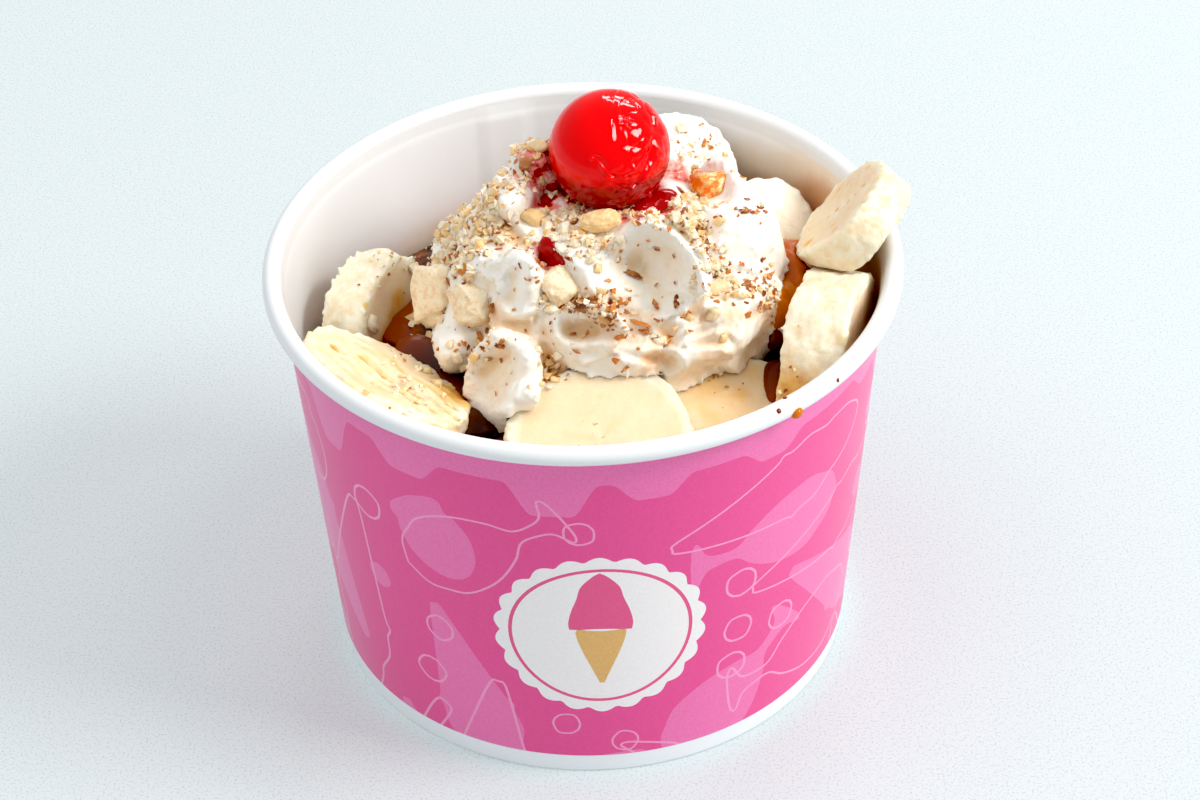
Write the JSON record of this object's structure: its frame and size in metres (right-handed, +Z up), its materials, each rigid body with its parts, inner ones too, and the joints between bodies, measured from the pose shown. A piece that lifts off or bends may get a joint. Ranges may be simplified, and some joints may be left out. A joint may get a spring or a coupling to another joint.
{
  "type": "banana split in a paper cup",
  "caption": "Banana split in a round paper cup: banana slices round the edge, caramel sauce, whipped cream with chopped nuts, and a cherry on top.",
  "frame": {"origin": "centre of the cup's foot, on the table", "axes": "+Z up along the cup's axis, -Y towards the viewer of the front, +X to that viewer's right"},
  "size_m": [0.1174, 0.116, 0.1107],
  "materials": {
    "paper_wall": "coated white board, printed pink outside below the rim, with a plain white foot band",
    "banana": "moist cut banana, pale cream yellow",
    "caramel": "glossy caramel sauce, orange brown where thin and nearly black where deep",
    "cream": "soft white whipped cream",
    "cherry": "candied cherry, glossy and translucent red",
    "nut": "chopped nut, pale tan with brown skin",
    "glazed_nut": "nut glazed amber with syrup"
  },
  "bodies": {
    "root": {"cup_wall": "paper_wall", "cup_base": "paper_wall", "caramel_filling": "caramel", "whipped_cream": "cream", "cherry": "cherry", "banana_slice_front": "banana", "banana_slice_right": "banana", "banana_slice_left": "banana", "banana_slice_rim": "banana", "banana_slice_back": "banana", "banana_slice_left_back": "banana", "banana_slice_right_inner": "banana", "banana_slice_back_right": "banana", "banana_slice_front_right": "banana", "nut_chunk_square": "nut", "nut_chunk_middle": "nut", "nut_slab": "nut", "nut_glazed": "glazed_nut", "nut_whole": "nut"}
  },
  "joints": []
}
